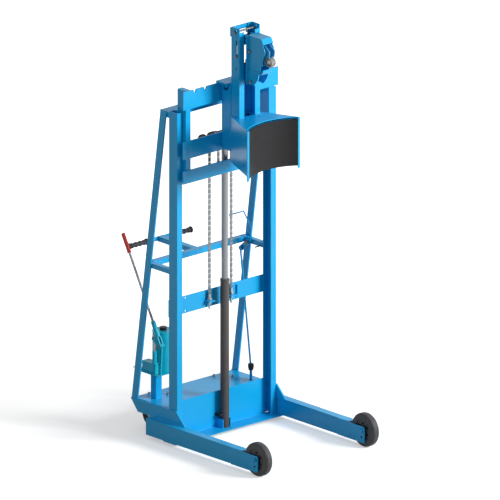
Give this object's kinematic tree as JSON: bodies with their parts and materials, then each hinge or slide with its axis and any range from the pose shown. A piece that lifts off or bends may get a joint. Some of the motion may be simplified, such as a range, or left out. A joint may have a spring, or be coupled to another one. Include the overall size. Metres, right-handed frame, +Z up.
{
  "type": "drum stacker",
  "caption": "Hand-pushed hydraulic drum lifter with a tall mast, chain-driven carriage, curved drum cradle and rim clamp.",
  "frame": {"origin": "on the floor under the middle of the part's bounding box", "axes": "+Z up, -Y ahead towards the drum, +X to the right of someone who looks along +Y"},
  "size_m": [0.902, 1.427, 2.494],
  "materials": {
    "blue_paint": "gloss",
    "turquoise_paint": "gloss",
    "barrel_paint": "satin",
    "chrome": "polished",
    "zinc_steel": "satin",
    "black_steel": "satin",
    "chain_steel": "oiled",
    "roller_steel": "satin",
    "pad_rubber": "matte",
    "tyre_rubber": "matte",
    "castor_rubber": "matte",
    "hub_black": "satin",
    "grip_rubber": "matte",
    "red_grip": "gloss",
    "cap_black": "satin",
    "shoe_plastic": "satin",
    "jaw_paint": "satin",
    "beak_steel": "satin",
    "bolt_steel": "satin"
  },
  "bodies": {
    "frame": {"legs": "blue_paint", "fork_plates": "blue_paint", "wheel_axles": "blue_paint", "floor_plates": "blue_paint", "rear_deck": "blue_paint", "castor_plates": "zinc_steel", "mast_posts": "blue_paint", "top_tie": "blue_paint", "rear_braces": "blue_paint", "chain_plate": "blue_paint", "chain_anchors": "zinc_steel", "handle_frame": "blue_paint", "handle_tube": "blue_paint", "handle_grips": "grip_rubber", "cylinder_barrel": "barrel_paint", "cylinder_foot": "blue_paint", "inlet_elbow": "black_steel", "pump_stand": "blue_paint", "pump_block": "turquoise_paint", "pump_reservoir": "turquoise_paint", "filler_cap": "cap_black", "lever_pin": "bolt_steel", "lock_pin": "bolt_steel", "chain_rear": "chain_steel"},
    "ram": {"lift_rod": "chrome", "crosshead": "black_steel", "chain_wrap": "chain_steel"},
    "sheaves": {"chain_sheaves": "black_steel"},
    "carriage": {"carriage_uprights": "blue_paint", "carriage_bars": "blue_paint", "head_box": "blue_paint", "hook_plate": "blue_paint", "head_columns": "blue_paint", "column_pins": "bolt_steel", "cradle_cheeks": "blue_paint", "cradle_arc": "blue_paint", "cradle_pad": "pad_rubber", "chain_front": "chain_steel"},
    "roller_pair_low": {"rollers_low": "roller_steel"},
    "roller_pair_high": {"rollers_high": "roller_steel"},
    "clamp": {"clamp_body": "blue_paint", "guide_shoes": "shoe_plastic", "clamp_bolts": "bolt_steel"},
    "jaw": {"jaw_arms": "jaw_paint", "jaw_beak": "beak_steel"},
    "pump_lever": {"lever_socket": "turquoise_paint", "lever_rod": "chrome", "lever_grip": "red_grip"},
    "plunger": {"pump_plunger": "zinc_steel"},
    "pedal": {"release_pedal": "turquoise_paint"},
    "lock_hand_lever": {"lock_lever": "blue_paint"},
    "lock_tie_rod": {"lock_rod": "blue_paint"},
    "castor_left": {"castor_fork_left": "zinc_steel"},
    "castor_right": {"castor_fork_right": "zinc_steel"},
    "castor_roll_left": {"castor_wheel_left": "castor_rubber"},
    "castor_roll_right": {"castor_wheel_right": "castor_rubber"},
    "front_wheel_left": {"front_tyre_left": "tyre_rubber", "front_hub_left": "hub_black"},
    "front_wheel_right": {"front_tyre_right": "tyre_rubber", "front_hub_right": "hub_black"}
  },
  "joints": [
    {"name": "ram_lift", "type": "slide", "parent": "frame", "child": "ram", "axis": [0, 0, 1], "range_m": [-0.765, 0], "deforming": ["chain_rear"]},
    {"name": "carriage_lift", "type": "slide", "parent": "ram", "child": "carriage", "axis": [0, 0, 1], "range_m": [-0.766, 0.001], "deforming": ["chain_front"]},
    {"name": "sheave_spin", "type": "hinge", "parent": "ram", "child": "sheaves", "pos_m": [0, 0.1375, 1.786], "axis": [1, 0, 0], "range_deg": [-5, 1160]},
    {"name": "roller_low_spin", "type": "hinge", "parent": "carriage", "child": "roller_pair_low", "pos_m": [0, 0.1555, 1.619], "axis": [1, 0, 0], "range_deg": [-5, 3080]},
    {"name": "roller_high_spin", "type": "hinge", "parent": "carriage", "child": "roller_pair_high", "pos_m": [0, 0.1555, 1.939], "axis": [1, 0, 0], "range_deg": [-3080, 5]},
    {"name": "clamp_slide", "type": "slide", "parent": "carriage", "child": "clamp", "axis": [0, 0, 1], "range_m": [-0.17, 0]},
    {"name": "jaw_pivot", "type": "hinge", "parent": "clamp", "child": "jaw", "pos_m": [0, -0.1225, 2.364], "axis": [1, 0, 0], "range_deg": [-4, 6]},
    {"name": "pump_lever_pivot", "type": "hinge", "parent": "frame", "child": "pump_lever", "pos_m": [-0.3, 0.3495, 0.528], "axis": [1, 0, 0], "range_deg": [-18, 6]},
    {"name": "plunger_slide", "type": "slide", "parent": "frame", "child": "plunger", "axis": [0, 0, 1], "range_m": [-0.022, 0.014]},
    {"name": "release_pedal_pivot", "type": "hinge", "parent": "frame", "child": "pedal", "pos_m": [-0.29, 0.5135, 0.353], "axis": [1, 0, 0], "range_deg": [-10, 0], "stiffness_Nm_per_rad": 1, "springref_deg": 8.59},
    {"name": "lock_lever_pivot", "type": "hinge", "parent": "frame", "child": "lock_hand_lever", "pos_m": [0.339, 0.3135, 1.027], "axis": [1, 0, 0], "range_deg": [-12, 0]},
    {"name": "lock_rod_slide", "type": "slide", "parent": "frame", "child": "lock_tie_rod", "axis": [0, 0, 1], "range_m": [-0.012, 0.001]},
    {"name": "castor_left_swivel", "type": "hinge", "parent": "frame", "child": "castor_left", "pos_m": [-0.251, 0.4285, 0.1], "axis": [0, 0, 1], "continuous": true},
    {"name": "castor_left_roll", "type": "hinge", "parent": "castor_left", "child": "castor_roll_left", "pos_m": [-0.251, 0.4745, 0.075], "axis": [1, 0, 0], "continuous": true},
    {"name": "front_wheel_left_roll", "type": "hinge", "parent": "frame", "child": "front_wheel_left", "pos_m": [-0.413, -0.6135, 0.1], "axis": [1, 0, 0], "continuous": true},
    {"name": "castor_right_swivel", "type": "hinge", "parent": "frame", "child": "castor_right", "pos_m": [0.251, 0.4285, 0.1], "axis": [0, 0, 1], "continuous": true},
    {"name": "castor_right_roll", "type": "hinge", "parent": "castor_right", "child": "castor_roll_right", "pos_m": [0.251, 0.4745, 0.075], "axis": [1, 0, 0], "continuous": true},
    {"name": "front_wheel_right_roll", "type": "hinge", "parent": "frame", "child": "front_wheel_right", "pos_m": [0.413, -0.6135, 0.1], "axis": [1, 0, 0], "continuous": true}
  ],
  "couplings": [
    {"joint": "carriage_lift", "follows": "ram_lift", "ratio": 1},
    {"joint": "sheave_spin", "follows": "ram_lift", "rad_per_m": -26.316},
    {"joint": "roller_low_spin", "follows": "ram_lift", "rad_per_m": -70.175},
    {"joint": "roller_high_spin", "follows": "ram_lift", "rad_per_m": 70.175},
    {"joint": "plunger_slide", "follows": "pump_lever_pivot", "m_per_rad": 0.058},
    {"joint": "lock_rod_slide", "follows": "lock_lever_pivot", "m_per_rad": 0.053}
  ]
}
